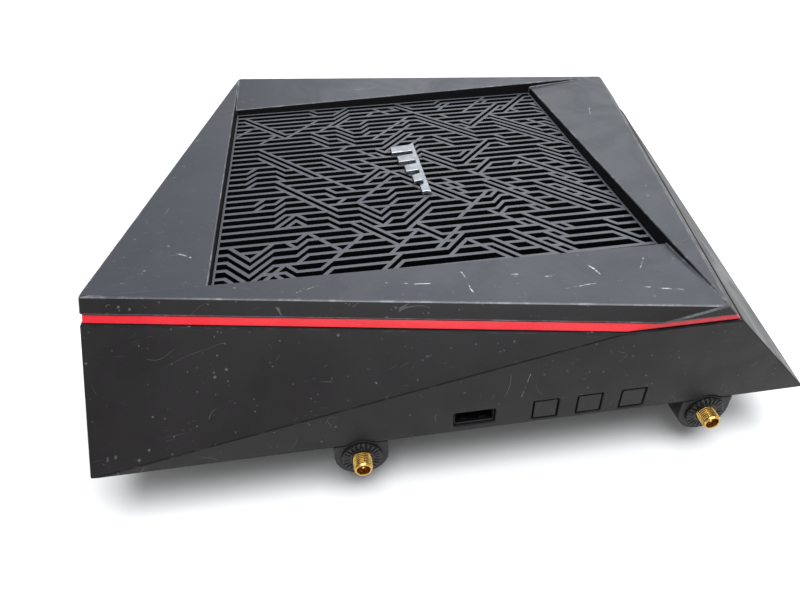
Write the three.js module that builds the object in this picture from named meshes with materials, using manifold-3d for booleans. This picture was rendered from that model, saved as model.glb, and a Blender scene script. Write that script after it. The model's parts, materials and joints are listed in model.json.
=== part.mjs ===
// A square wireless router with eight antenna sockets round its sides, without its antennas.
// Units are millimetres and +Z is up. The origin is on the floor, under the centre of the body.
// Each side of the body is the near side (-Y) turned by quarter turns about Z, so a piece on a
// side is placed by u, its distance along the side to the right of the middle as seen from
// outside, by v, its depth behind the side's upright face, and by its height z.

import * as THREE from 'three';
import { ConvexGeometry } from 'three/addons/geometries/ConvexGeometry.js';
import { mergeVertices } from 'three/addons/utils/BufferGeometryUtils.js';
import Module from 'manifold-3d';

const wasm = await Module();
wasm.setup();

// ---------------------------------------------------------------- driving dimensions

// Body
const SIDE = 245;                   // width and depth over the skirt
const HALF = SIDE / 2;
const TOP = 65;                     // height of the top's outer edges
const SKIRT_EDGE = 22.4;            // height of the skirt's bottom edge
const OPENING_HALF = SIDE / 3;      // half the square opening that holds the grille
const PLATE_DIP = 3.2;              // how far each top plate falls towards its low corner
const WALL = 2.2;
const GAP = 0.3;                    // between pieces that touch
const CUT = 1;                      // how far a cutting shape runs past what it cuts
const BITE = 0.5;                   // how far shapes that are joined run into each other
const MERGE_DISTANCE = 1e-5;

// Levels from the top down
const TRIM_HIGH = 60.4;
const TRIM_LOW = 58.4;
const TRIM_INSET = 0.7;
const TRIM_WIDTH = 3;
const COVER_LOW = TRIM_HIGH + GAP;
const SKIRT_TOP = TRIM_LOW - GAP;
const GRILLE_TOP = TOP - 6.2;
const GRILLE_THICK = 2.2;
const GRILLE_RIM_THICK = 1.3;
const GRILLE_RIM_LOW = GRILLE_TOP - GRILLE_THICK - GRILLE_RIM_THICK;
const GRILLE_RIM_HALF = OPENING_HALF + 3.7;
const FLANGE_TOP = GRILLE_RIM_LOW - GAP;
const FLANGE_THICK = 2.1;
const FLANGE_OPENING_HALF = OPENING_HALF - 1.8;

// Board
const BOARD_TOP = 24.3;
const BOARD_THICK = 1.6;
const BOARD_HALF = 115;
const SEAT = BOARD_TOP + GAP;       // where the parts on the board start

// Tray under the skirt
const FLOOR_LOW = 2;
const FLOOR_THICK = 2;
const TRAY_LOW_HALF = 96;
const TRAY_HIGH_HALF = 120;
const TRAY_SHOULDER = 21;           // where the leaning wall becomes upright
const LIP_TOP = SKIRT_EDGE + 1.5;
const LIP_INSET = WALL + 0.4;
const LIP_WALL = 2;
const RAIL_ENDS = [-45.4, 96.3];    // along the side, the stretch of lip that carries two bosses

// Antenna sockets: two on each side, HALF apart along the body's perimeter
const SOCKET_HEIGHT = 16.4;
const SOCKET_AT = [-35.8, HALF - 35.8];
const BOSS_RADIUS = 9.2;
const BOSS_DEPTH = 24;
const BOSS_ARCH_RADIUS = 7.4;
const BOSS_FRONT_WALL = 3;
const BOSS_WALL = 1.8;
const BOSS_ROOF = 1.2;
const THREAD_RADIUS = 3.175;
const SOCKET_REACH = 6.1;           // how far the thread stands out of the boss
const SOCKET_FLANGE_THICK = 2;
const SOCKET_TAIL = 2.8;
const RING_RADIUS = 6.9;
const RING_REACH = 1.5;

// Housing screws and feet, one of each for every quarter of the body
const SCREW_AT = [86, -86];
const SCREW_POST_RADIUS = 4;
const SCREW_HEAD_RADIUS = 3.2;
const SCREW_LEDGE = 8;              // the ledge under which a screw's head sits
const SCREW_JOIN = 12;              // where the tray's boss meets the upper post
const FOOT_AT = [62, -84];
const FOOT_RADIUS = 8;
const FOOT_STEM_RADIUS = 2.2;
const COVER_STAKE_AT = [40, -98];
const STAKE_PIN_RADIUS = 1.5;
const STANDOFF_AT = [0, -86];

// Buttons and ports
const SIDE_BUTTON = { width: 7.9, height: 7.6, z: 28.15, outline: 0.5, travel: 0.8 };
const SIDE_BUTTON_AT = { led_button: 26.95, wifi_button: 42.3, wps_button: 57.65 };
const KEY_STEM_END = 6.5;           // depth at which a key's stem ends, in front of its switch
const POWER_BUTTON = { width: 8, height: 8, z: 28.8, outline: 0.4, travel: 1.6 };
const POWER_BUTTON_AT = -52;
const RESET = { u: -64, z: 28, hole: 1.25, radius: 0.95, front: 0.8, travel: 0.5 };
const USB = { width: 13.5, height: 5.7, z: 28.2, front: 0.8, depth: 14.5, sheet: 0.4 };
const USB_AT = { usb3_port: 2.6, usb2_port: 68 };
const JACK = { pitch: 14, height: 13.4, depth: 18, front: 0.5, mouth: 11.8, mouthHeight: 6.8, bore: 13 };
const LAN_AT = 29;
const WAN_AT = -14;
const DC = { u: 103, z: 30, sleeve: 3.9, bore: 3.15, pin: 1.2, width: 9.4, height: 10.8, depth: 14 };
const LAMPS = { count: 7, first: 16, pitch: 8, width: 2.4, height: 1.2, z: 29 };

// Sides, by how many quarter turns they are from the near side
const NEAR = 0;
const FRONT = 1;
const REAR = 3;
const QUARTERS = [0, 1, 2, 3];
const QUARTER_NAMES = ['near', 'front', 'far', 'rear'];

// ---------------------------------------------------------------- materials

const paint = (color, roughness, metalness = 0) =>
  new THREE.MeshStandardMaterial({ color, roughness, metalness });

const MATERIALS = {
  cover: paint(0x646a72, 0.38),
  grille: paint(0x6c7078, 0.5),
  skirt: paint(0x2c2a2d, 0.35),
  base: paint(0x232225, 0.6),
  trim: paint(0xc42432, 0.35),
  badge: paint(0xd4d6da, 0.25, 1),
  button: paint(0x333134, 0.4),
  rubber: paint(0x141414, 0.9),
  brass: paint(0xb8862e, 0.3, 1),
  ring: paint(0x1c1c1e, 0.5),
  steel: paint(0xa8abb0, 0.35, 1),
  board: paint(0x14201a, 0.6),
  sink: paint(0x232427, 0.45, 1),
  port: paint(0x151517, 0.55),
  lead: paint(0x202022, 0.7),
  lens: paint(0xe8ecee, 0.2),
};

// ---------------------------------------------------------------- shape helpers

const turn = (geometry, quarter) => geometry.rotateZ(quarter * Math.PI / 2);

// A closed geometry as a solid that can be joined and cut.
function solid(geometry) {
  geometry.deleteAttribute('normal');
  geometry.deleteAttribute('uv');
  const merged = mergeVertices(geometry, MERGE_DISTANCE);
  const corners = merged.index.array;
  const triVerts = [];
  for (let i = 0; i < corners.length; i += 3) {
    const [a, b, c] = corners.slice(i, i + 3);
    if (a !== b && b !== c && c !== a) triVerts.push(a, b, c);
  }
  const vertProperties = merged.attributes.position.array;
  const mesh = { numProp: 3, vertProperties, triVerts: new Uint32Array(triVerts) };
  return new wasm.Manifold(new wasm.Mesh(mesh));
}

function geometryOf(shape) {
  const { vertProperties, triVerts } = shape.getMesh();
  const geometry = new THREE.BufferGeometry();
  geometry.setAttribute('position', new THREE.BufferAttribute(vertProperties, 3));
  geometry.setIndex(new THREE.BufferAttribute(triVerts, 1));
  return geometry;
}

const join = (...shapes) => shapes.flat().reduce((whole, shape) => whole.add(shape));
const cut = (whole, ...tools) => tools.flat().reduce((rest, tool) => rest.subtract(tool), whole);
const hull = (points) => new ConvexGeometry(points);

function block([x0, x1], [y0, y1], [z0, z1]) {
  const geometry = new THREE.BoxGeometry(x1 - x0, y1 - y0, z1 - z0);
  return geometry.translate((x0 + x1) / 2, (y0 + y1) / 2, (z0 + z1) / 2);
}

const squareBlock = (half, low, high) => block([-half, half], [-half, half], [low, high]);

// An upright round bar.
function post(x, y, radius, low, high, sides = 12) {
  const geometry = new THREE.CylinderGeometry(radius, radius, high - low, sides);
  return geometry.rotateX(Math.PI / 2).translate(x, y, (low + high) / 2);
}

// Shapes on the near side, from depth v0 to depth v1.
const sideBlock = ([u0, u1], [v0, v1], heights) => block([u0, u1], [v0 - HALF, v1 - HALF], heights);

function sideRod(u, z, radius, [v0, v1], sides = 16) {
  const geometry = new THREE.CylinderGeometry(radius, radius, v1 - v0, sides);
  return geometry.translate(u, (v0 + v1) / 2 - HALF, z);
}

const plate = (u, z, width, height, depths) =>
  sideBlock([u - width / 2, u + width / 2], depths, [z - height / 2, z + height / 2]);

// An outline drawn in u and z, pushed from depth v0 to depth v1.
function sidePrism(outline, [v0, v1]) {
  const settings = { depth: v1 - v0, bevelEnabled: false, curveSegments: 6 };
  return new THREE.ExtrudeGeometry(outline, settings).rotateX(Math.PI / 2).translate(0, v1 - HALF, 0);
}

// A turned piece whose axis points out of the near side. The profile holds [radius, reach] pairs.
function sideTurning(profile, u, z, sides) {
  const points = profile.map(([radius, reach]) => new THREE.Vector2(radius, reach));
  return new THREE.LatheGeometry(points, sides).rotateX(Math.PI).translate(u, -HALF, z);
}

// The body's outline at one height. It is a square at the skirt's edge and a turned square at the
// top, so each side is made of one upright triangle and one leaning triangle.
function outlineAt(z, inset) {
  const rise = THREE.MathUtils.clamp((z - SKIRT_EDGE) / (TOP - SKIRT_EDGE), 0, 1);
  const scale = (HALF - inset) / HALF;
  const left = new THREE.Vector3(rise * (OPENING_HALF + HALF) - HALF, -HALF, 0);
  const right = new THREE.Vector3(HALF - rise * (HALF - OPENING_HALF), -HALF, 0);
  const ends = rise === 0 || rise === 1 ? [right] : [left, right];
  const up = new THREE.Vector3(0, 0, 1);
  return QUARTERS.flatMap((quarter) => ends.map((end) =>
    end.clone().multiplyScalar(scale).applyAxisAngle(up, quarter * Math.PI / 2).setZ(z)));
}

// The whole body between two heights, shrunk by inset.
const bodySlice = (low, high, inset = 0) =>
  solid(hull([...outlineAt(low, inset), ...outlineAt(high, inset)]));

const everyQuarter = (build) => QUARTERS.map((quarter) => solid(turn(build(), quarter)));

const everySocket = (build) => SOCKET_AT.flatMap((u) => everyQuarter(() => build(u)));

// ---------------------------------------------------------------- top

// The near top plate's height. It is full along the outer edge and lowest at the corner of the opening.
const plateHeight = (x, y) =>
  TOP - PLATE_DIP * ((x - OPENING_HALF) / (HALF + OPENING_HALF) + (y + HALF) / (HALF - OPENING_HALF));

// The space between the near top plate, lowered by drop, and the level limit.
function plateWedge(drop, limit, innerEdge) {
  const corners = [[OPENING_HALF, innerEdge], [OPENING_HALF, -SIDE], [-SIDE, -SIDE], [-SIDE, innerEdge]];
  return hull(corners.flatMap(([x, y]) => [
    new THREE.Vector3(x, y, plateHeight(x, y) - drop),
    new THREE.Vector3(x, y, limit),
  ]));
}

// Four tilted plates with a wall round the opening, and stakes that pin the frame to the housing.
function topCover() {
  const plateThick = 1.8;
  const wallThick = 2;
  const wallLow = GRILLE_TOP - GRILLE_THICK + GAP;
  const wallHigh = COVER_LOW + BITE;
  const stakeRadius = 3;
  const pinPast = 1.5;
  const opening = solid(squareBlock(OPENING_HALF, 0, 2 * TOP));
  const above = everyQuarter(() => plateWedge(0, 2 * TOP, -OPENING_HALF));
  const slab = cut(bodySlice(COVER_LOW, TOP), opening, above);
  const inside = bodySlice(COVER_LOW, TOP, WALL);
  const hollows = everyQuarter(() => plateWedge(plateThick, 0, -OPENING_HALF - wallThick))
    .map((wedge) => wedge.intersect(inside));
  const wall = cut(solid(squareBlock(OPENING_HALF + wallThick, wallLow, wallHigh)), opening);
  const [x, y] = COVER_STAKE_AT;
  const underPlate = plateHeight(x, y) - plateThick / 2;
  const pinLow = FLANGE_TOP - FLANGE_THICK - pinPast;
  const stakes = everyQuarter(() => post(x, y, stakeRadius, FLANGE_TOP + GAP, underPlate));
  const pins = everyQuarter(() => post(x, y, STAKE_PIN_RADIUS, pinLow, FLANGE_TOP + CUT, 8));
  return join(cut(slab, hollows), wall, stakes, pins);
}

// Rows of slots with leaning ends, staggered so that the bridges between them step from row to row.
function topGrille() {
  const pitch = 5.1;
  const rowsEachWay = 15;
  const slotHalfWidth = 1.45;
  const bridge = 2.2;
  const lean = 1.2;
  const border = 2.4;
  const bridgeAt = 27;
  const stagger = 9;
  const reach = OPENING_HALF - border;
  const slots = [];
  for (let row = -rowsEachWay; row <= rowsEachWay; row += 1) {
    const y = row * pitch;
    const shift = stagger * ((row + rowsEachWay) % 3 - 1);
    const bridges = [shift - bridgeAt, shift + bridgeAt];
    const ends = [-reach, ...bridges.flatMap((x) => [x - bridge / 2, x + bridge / 2]), reach];
    for (let i = 0; i < ends.length; i += 2) {
      slots.push(solid(leaningSlot(ends[i], ends[i + 1], y, slotHalfWidth, lean)));
    }
  }
  const bars = squareBlock(OPENING_HALF - GAP, GRILLE_TOP - GRILLE_THICK, GRILLE_TOP);
  const rim = squareBlock(GRILLE_RIM_HALF, GRILLE_RIM_LOW, GRILLE_TOP - GRILLE_THICK);
  const window = squareBlock(FLANGE_OPENING_HALF, 0, GRILLE_TOP - GRILLE_THICK);
  return join(cut(solid(bars), join(slots)), cut(solid(rim), solid(window)));
}

// A cutter for one slot, which is a parallelogram seen from above.
function leaningSlot(left, right, y, halfWidth, lean) {
  const outline = new THREE.Shape();
  outline.moveTo(left, y - halfWidth).lineTo(right - 2 * lean, y - halfWidth);
  outline.lineTo(right, y + halfWidth).lineTo(left + 2 * lean, y + halfWidth).closePath();
  const depth = GRILLE_THICK + 2 * CUT;
  const geometry = new THREE.ExtrudeGeometry(outline, { depth, bevelEnabled: false });
  return geometry.translate(0, 0, GRILLE_TOP + CUT - depth);
}

// A generic mark: five leaning bars of growing height on a base line, read from the front side.
function badge() {
  const low = GRILLE_TOP + GAP;
  const depth = 1.5;
  const length = 50;
  const width = 11.6;
  const count = 5;
  const step = length / count;
  const barStart = 0.1 * step;
  const barEnd = 0.78 * step;
  const baseline = width / 2;
  const foot = baseline - 2;
  const lean = 1.6;
  const outline = new THREE.Shape();
  outline.moveTo(baseline, -length / 2).lineTo(baseline, length / 2);
  for (let i = count - 1; i >= 0; i -= 1) {
    const start = i * step - length / 2;
    const barTop = baseline - width * (i + 2) / (count + 1);
    outline.lineTo(foot, start + barEnd).lineTo(barTop, start + barEnd - lean);
    outline.lineTo(barTop, start + barStart - lean / 2).lineTo(foot, start + barStart);
  }
  outline.closePath();
  return new THREE.ExtrudeGeometry(outline, { depth, bevelEnabled: false }).translate(0, 0, low);
}

// The thin strip between the top cover and the side housing, all round.
function redTrim() {
  const inner = bodySlice(TRIM_LOW, TRIM_HIGH, TRIM_INSET + TRIM_WIDTH);
  return cut(bodySlice(TRIM_LOW, TRIM_HIGH, TRIM_INSET), inner);
}

// ---------------------------------------------------------------- side housing

const THROUGH_WALL = [-CUT, WALL + CUT];

const buttonHole = (u, { width, height, z, outline }) =>
  plate(u, z, width + 2 * outline, height + 2 * outline, THROUGH_WALL);

const jackHole = (u, ports) =>
  plate(u, SEAT + JACK.height / 2, JACK.pitch * ports + 2 * GAP, JACK.height + 2 * GAP, THROUGH_WALL);

const usbHole = (u) => plate(u, USB.z, USB.width + 2 * GAP, USB.height + 2 * GAP, THROUGH_WALL);

const lampAt = (index) => LAMPS.first + index * LAMPS.pitch;

function sideHoles() {
  const near = Object.values(SIDE_BUTTON_AT).map((u) => buttonHole(u, SIDE_BUTTON));
  near.push(usbHole(USB_AT.usb3_port));
  const front = Array.from({ length: LAMPS.count }, (_, index) =>
    plate(lampAt(index), LAMPS.z, LAMPS.width + 2 * GAP, LAMPS.height + 2 * GAP, THROUGH_WALL));
  const rear = [
    buttonHole(POWER_BUTTON_AT, POWER_BUTTON),
    jackHole(LAN_AT, 4),
    jackHole(WAN_AT, 1),
    usbHole(USB_AT.usb2_port),
    sideRod(RESET.u, RESET.z, RESET.hole, THROUGH_WALL, 12),
    sideRod(DC.u, DC.z, DC.sleeve + GAP, THROUGH_WALL, 20),
  ];
  return [[near, NEAR], [front, FRONT], [rear, REAR]]
    .flatMap(([holes, quarter]) => holes.map((hole) => solid(turn(hole, quarter))));
}

// The skirt's wall, the flange under the grille's rim, and the posts that the housing screws enter.
function sideHousing() {
  const screwBore = 1.45;
  const screwBoreEnd = 30;
  const archRadius = BOSS_ARCH_RADIUS + GAP;
  const stakeHole = STAKE_PIN_RADIUS + GAP;
  const flangeLow = FLANGE_TOP - FLANGE_THICK;
  const shell = cut(bodySlice(SKIRT_EDGE, SKIRT_TOP), bodySlice(SKIRT_EDGE, SKIRT_TOP, WALL));
  const window = solid(squareBlock(FLANGE_OPENING_HALF, 0, TOP));
  const flange = cut(bodySlice(flangeLow, FLANGE_TOP, WALL / 2), window);
  const [x, y] = SCREW_AT;
  const posts = everyQuarter(() => post(x, y, SCREW_POST_RADIUS, SCREW_JOIN + GAP, flangeLow + BITE));
  const screwBores = everyQuarter(() => post(x, y, screwBore, SCREW_JOIN - CUT, screwBoreEnd, 8));
  const stakeHoles = everyQuarter(() =>
    post(...COVER_STAKE_AT, stakeHole, flangeLow - CUT, FLANGE_TOP + CUT, 8));
  const arches = everySocket((u) => sideRod(u, SOCKET_HEIGHT, archRadius, THROUGH_WALL, 20));
  return cut(join(shell, flange, posts), screwBores, stakeHoles, arches, sideHoles());
}

// ---------------------------------------------------------------- tray, sockets and feet

// A D lying on its back: round below and flat on top.
function bossOutline(radius, high) {
  const outline = new THREE.Shape();
  outline.moveTo(radius, high).lineTo(-radius, high).lineTo(-radius, SOCKET_HEIGHT);
  outline.absarc(0, SOCKET_HEIGHT, radius, Math.PI, 2 * Math.PI, false);
  return outline.closePath();
}

const squareFrustum = (lowHalf, low, highHalf, high) => {
  const corners = [[1, 1], [1, -1], [-1, 1], [-1, -1]];
  return solid(hull(corners.flatMap(([x, y]) => [
    new THREE.Vector3(x * lowHalf, y * lowHalf, low),
    new THREE.Vector3(x * highHalf, y * highHalf, high),
  ])));
};

// The tray's inside.
function trayHollow() {
  const lowHalf = TRAY_LOW_HALF - 1.4;
  const hollowHalf = HALF - LIP_INSET - LIP_WALL;
  return join(
    squareFrustum(lowHalf, FLOOR_LOW + FLOOR_THICK, hollowHalf, TRAY_SHOULDER),
    solid(squareBlock(hollowHalf, TRAY_SHOULDER, SKIRT_EDGE)),
    bodySlice(SKIRT_EDGE, LIP_TOP, LIP_INSET + LIP_WALL),
  );
}

const bossPrism = (u, radius, high, depths) =>
  sidePrism(bossOutline(radius, high), depths).translate(u, 0, 0);

// The tray, with its screw bosses, board standoffs, vents, and gates for the socket rails.
function bottomCover() {
  const screwBoss = 5.5;
  const headPocket = SCREW_HEAD_RADIUS + 0.4;
  const screwHole = 1.8;
  const standoff = 3;
  const footHole = FOOT_STEM_RADIUS + GAP;
  const floorTop = FLOOR_LOW + FLOOR_THICK;
  const standoffTop = BOARD_TOP - BOARD_THICK - GAP;
  const lipHalf = HALF - LIP_INSET;
  const outside = join(
    squareFrustum(TRAY_LOW_HALF, FLOOR_LOW, TRAY_HIGH_HALF, TRAY_SHOULDER),
    solid(squareBlock(lipHalf, TRAY_SHOULDER - BITE, SKIRT_EDGE)),
    bodySlice(SKIRT_EDGE, LIP_TOP, LIP_INSET),
  );
  const gates = everySocket((u) => bossPrism(u, BOSS_RADIUS + GAP, SKIRT_EDGE, [-CUT, BOSS_DEPTH]));
  const railSeats = everyQuarter(() => railBlock(GAP, TRAY_SHOULDER));
  const [x, y] = SCREW_AT;
  const screwBosses = everyQuarter(() => post(x, y, screwBoss, FLOOR_LOW + BITE, SCREW_JOIN));
  const standoffs = everyQuarter(() => post(...STANDOFF_AT, standoff, FLOOR_LOW + BITE, standoffTop));
  const headPockets = everyQuarter(() => post(x, y, headPocket, FLOOR_LOW - CUT, SCREW_LEDGE));
  const screwHoles = everyQuarter(() => post(x, y, screwHole, FLOOR_LOW, SCREW_JOIN + CUT, 8));
  const footHoles = everyQuarter(() => post(...FOOT_AT, footHole, FLOOR_LOW - CUT, floorTop + CUT, 8));
  const tray = join(cut(outside, trayHollow(), gates, railSeats), screwBosses, standoffs);
  return cut(tray, headPockets, screwHoles, footHoles, floorVents());
}

// The stretch of the tray's lip that belongs to a side's rail.
const railBlock = (grow, low) =>
  sideBlock([RAIL_ENDS[0] - grow, RAIL_ENDS[1] + grow], [0, LIP_INSET + LIP_WALL + CUT], [low, TOP]);

// Two D-shaped bosses that hold the near side's sockets under the skirt, joined by a piece of lip.
// Each fills a gate in the tray's wall and is open towards the inside.
function socketRail() {
  const channelHigh = SKIRT_EDGE - GAP - BOSS_ROOF;
  const bosses = SOCKET_AT.map((u) => join(
    solid(bossPrism(u, BOSS_RADIUS, SKIRT_EDGE - GAP, [0, BOSS_DEPTH])),
    solid(sideRod(u, SOCKET_HEIGHT, BOSS_ARCH_RADIUS, [0, LIP_INSET + CUT], 20)),
  ));
  const lip = bodySlice(SKIRT_EDGE, LIP_TOP, LIP_INSET)
    .add(solid(squareBlock(HALF - LIP_INSET, TRAY_SHOULDER, SKIRT_EDGE)))
    .intersect(solid(railBlock(0, TRAY_SHOULDER + GAP)));
  const channels = SOCKET_AT.map((u) =>
    solid(bossPrism(u, BOSS_RADIUS - BOSS_WALL, channelHigh, [BOSS_FRONT_WALL, BOSS_DEPTH])));
  const bores = SOCKET_AT.map((u) =>
    solid(sideRod(u, SOCKET_HEIGHT, THREAD_RADIUS + GAP, [-CUT, BOSS_FRONT_WALL + CUT])));
  return cut(join(bosses, lip), trayHollow(), channels, bores);
}

function floorVents() {
  const count = 9;
  const pitch = 11;
  const halfWidth = 1.6;
  const halfLength = 52;
  const heights = [FLOOR_LOW - CUT, FLOOR_LOW + FLOOR_THICK + CUT];
  return Array.from({ length: count }, (_, index) => {
    const x = (index - (count - 1) / 2) * pitch;
    return solid(block([x - halfWidth, x + halfWidth], [-halfLength, halfLength], heights));
  });
}

// A push-in rubber foot: a disc under the floor and a stem through it.
function foot() {
  const discTop = FLOOR_LOW - GAP;
  const stemTop = FLOOR_LOW + FLOOR_THICK + 1.2;
  const edge = 0.6;
  const profile = [[0, 0], [FOOT_RADIUS - edge, 0], [FOOT_RADIUS, edge], [FOOT_RADIUS, discTop],
    [FOOT_STEM_RADIUS, discTop], [FOOT_STEM_RADIUS, stemTop], [0, stemTop]];
  const points = profile.map(([radius, z]) => new THREE.Vector2(radius, z));
  return new THREE.LatheGeometry(points, 16).rotateX(Math.PI / 2).translate(...FOOT_AT, 0);
}

// A screw driven up from below: a head with a rounded edge, a shank and a point.
function housingScrew() {
  const headHigh = SCREW_LEDGE - GAP;
  const headLow = headHigh - 2;
  const edge = 0.6;
  const shank = 1.15;
  const tip = 24;
  const profile = [[0, headLow], [SCREW_HEAD_RADIUS - edge, headLow], [SCREW_HEAD_RADIUS, headLow + edge],
    [SCREW_HEAD_RADIUS, headHigh], [shank, headHigh], [shank, tip - 1.5], [0, tip]];
  const points = profile.map(([radius, z]) => new THREE.Vector2(radius, z));
  return new THREE.LatheGeometry(points, 10).rotateX(Math.PI / 2).translate(...SCREW_AT, 0);
}

// A threaded coaxial socket: crimp tail, flange behind the boss's front wall, thread, bore and pin.
function antennaSocket(u) {
  const flangeFront = -BOSS_FRONT_WALL - GAP;
  const flangeBack = flangeFront - SOCKET_FLANGE_THICK;
  const tailEnd = flangeBack - SOCKET_TAIL;
  const tailRadius = 2;
  const flangeRadius = 4;
  const rim = 2.7;
  const bore = 2.3;
  const boreEnd = SOCKET_REACH - 4.3;
  const pin = 0.6;
  const pinTip = SOCKET_REACH - 1;
  const profile = [[0, tailEnd], [tailRadius, tailEnd], [tailRadius, flangeBack],
    [flangeRadius, flangeBack], [flangeRadius, flangeFront], [THREAD_RADIUS, flangeFront],
    [THREAD_RADIUS, SOCKET_REACH - 0.5], [rim, SOCKET_REACH], [bore, SOCKET_REACH],
    [bore, boreEnd], [pin, boreEnd], [pin, pinTip], [0, pinTip]];
  return sideTurning(profile, u, SOCKET_HEIGHT, 12);
}

// The ring round a socket's thread, lying on the boss's face.
function detentRing(u) {
  const inner = THREAD_RADIUS + GAP;
  const profile = [[inner, GAP], [RING_RADIUS, GAP], [RING_RADIUS, RING_REACH], [inner, RING_REACH],
    [inner, GAP]];
  return sideTurning(profile, u, SOCKET_HEIGHT, 20);
}

// A short coaxial lead from the socket's tail up to the underside of the board.
function antennaLead(u) {
  const radius = 0.9;
  const start = BOSS_FRONT_WALL + SOCKET_FLANGE_THICK + SOCKET_TAIL + 2 * GAP;
  const end = BOARD_TOP - BOARD_THICK - GAP;
  const route = [[start, SOCKET_HEIGHT], [start + 4, SOCKET_HEIGHT], [start + 10, SOCKET_HEIGHT + 1.4],
    [start + 14, end - 2.6], [start + 14.6, end - 0.3]];
  const curve = new THREE.CatmullRomCurve3(route.map(([v, z]) => new THREE.Vector3(u, v - HALF, z)));
  const section = new THREE.Shape().absarc(0, 0, radius, 0, 2 * Math.PI, false);
  const settings = { steps: 9, curveSegments: 3, extrudePath: curve, bevelEnabled: false };
  return new THREE.ExtrudeGeometry(section, settings);
}

// ---------------------------------------------------------------- buttons, switches and lamps

// A square key that fills its hole, with ears behind the wall and a stem towards its switch.
function squareButton(u, { width, height, z }) {
  const face = 0.1;
  const stemRadius = 1.6;
  const earFront = WALL + 0.4;
  return join(
    solid(plate(u, z, width, height, [face, earFront + BITE])),
    solid(plate(u, z, width + 2, height - 0.6, [earFront, earFront + 1])),
    solid(sideRod(u, z, stemRadius, [earFront + BITE, KEY_STEM_END], 8)),
  );
}

// The switch that a key's stem presses, standing on the board.
function keySwitch(u, { z, travel }) {
  const plungerRadius = 1.5;
  const plungerFront = KEY_STEM_END + travel + 0.25;
  const bodyFront = plungerFront + 1.2;
  const bodyHalf = 3;
  const depths = [bodyFront, bodyFront + 4];
  return join(
    solid(sideRod(u, z, plungerRadius, [plungerFront, bodyFront + BITE], 8)),
    solid(sideBlock([u - bodyHalf, u + bodyHalf], depths, [SEAT, z + bodyHalf])),
  );
}

const resetButton = () => sideRod(RESET.u, RESET.z, RESET.radius, [RESET.front, KEY_STEM_END], 10);

// One clear moulding: a bar beside the board with a prong through the wall for each lamp.
function statusLens() {
  const face = 0.2;
  const past = 3;
  const barFront = WALL + GAP;
  const barBack = 11;
  const ends = [lampAt(0) - past, lampAt(LAMPS.count - 1) + past];
  const prongs = Array.from({ length: LAMPS.count }, (_, index) =>
    solid(plate(lampAt(index), LAMPS.z, LAMPS.width, LAMPS.height, [face, barFront + BITE])));
  return join(solid(sideBlock(ends, [barFront, barBack], [SEAT, LAMPS.z + 2])), prongs);
}

// ---------------------------------------------------------------- ports

// A sheet-metal shell, open in front, with the contact tongue on its back wall.
function usbPort(u) {
  const back = USB.front + USB.depth;
  const backWall = 2;
  const innerWidth = USB.width - 2 * USB.sheet;
  const innerHeight = USB.height - 2 * USB.sheet;
  const tongue = { width: 11.1, height: 1.8, rise: 0.9, front: 2.2 };
  const tongueDepths = [USB.front + tongue.front, back - backWall + BITE];
  return join(
    cut(
      solid(plate(u, USB.z, USB.width, USB.height, [USB.front, back])),
      solid(plate(u, USB.z, innerWidth, innerHeight, [USB.front - CUT, back - backWall])),
    ),
    solid(plate(u, USB.z + tongue.rise, tongue.width, tongue.height, tongueDepths)),
  );
}

// The outline of one network jack's mouth: a wide slot with the latch's stepped notch above it.
function jackMouth(u) {
  const low = SEAT + 1.8;
  const high = low + JACK.mouthHeight;
  const steps = [[JACK.mouth / 2, low, high], [3.1, high, high + 1.4], [1.8, high + 1.4, high + 2.6]];
  const right = steps.flatMap(([half, from, to]) => [[half, from], [half, to]]);
  const left = right.map(([half, z]) => [-half, z]).reverse();
  return new THREE.Shape([...right, ...left].map(([across, z]) => new THREE.Vector2(u + across, z)));
}

// A row of network jacks in one moulding.
function jackBlock(u, ports) {
  const half = JACK.pitch * ports / 2;
  const depths = [JACK.front, JACK.front + JACK.depth];
  const body = solid(sideBlock([u - half, u + half], depths, [SEAT, SEAT + JACK.height]));
  const mouths = Array.from({ length: ports }, (_, index) => {
    const middle = u + (index - (ports - 1) / 2) * JACK.pitch;
    return solid(sidePrism(jackMouth(middle), [JACK.front - CUT, JACK.front + JACK.bore]));
  });
  return cut(body, mouths);
}

// The power inlet: a box on the board with a sleeve through the wall, a bore and a centre pin.
function dcJack() {
  const front = 0.3;
  const boreEnd = front + 9.5;
  const bodyFront = WALL + GAP;
  const sides = [DC.u - DC.width / 2, DC.u + DC.width / 2];
  const sleeve = solid(sideRod(DC.u, DC.z, DC.sleeve, [front, bodyFront + BITE], 20));
  const box = solid(sideBlock(sides, [bodyFront, DC.depth], [SEAT, SEAT + DC.height]));
  const bore = solid(sideRod(DC.u, DC.z, DC.bore, [front - CUT, boreEnd]));
  const pin = solid(sideRod(DC.u, DC.z, DC.pin, [front + 1, boreEnd + BITE], 8));
  return join(cut(join(sleeve, box), bore), pin);
}

// ---------------------------------------------------------------- board

function mainBoard() {
  const low = BOARD_TOP - BOARD_THICK;
  const notch = SCREW_POST_RADIUS + 2 * GAP;
  const notches = everyQuarter(() => post(...SCREW_AT, notch, low - CUT, BOARD_TOP + CUT));
  return cut(solid(squareBlock(BOARD_HALF, low, BOARD_TOP)), notches);
}

function heatSink() {
  const halfLength = 55;
  const halfWidth = 40;
  const baseTop = SEAT + 3;
  const fins = 11;
  const finTop = 38;
  const finHalf = 0.8;
  const inset = 1;
  const pitch = 2 * (halfWidth - inset) / (fins - 1);
  const finEnds = [inset - halfLength, halfLength - inset];
  const base = solid(block([-halfLength, halfLength], [-halfWidth, halfWidth], [SEAT, baseTop]));
  const ribs = Array.from({ length: fins }, (_, index) => {
    const y = (index - (fins - 1) / 2) * pitch;
    return solid(block(finEnds, [y - finHalf, y + finHalf], [baseTop - BITE, finTop]));
  });
  return join(base, ribs);
}

// ---------------------------------------------------------------- assembly

const router = new THREE.Group();

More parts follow.
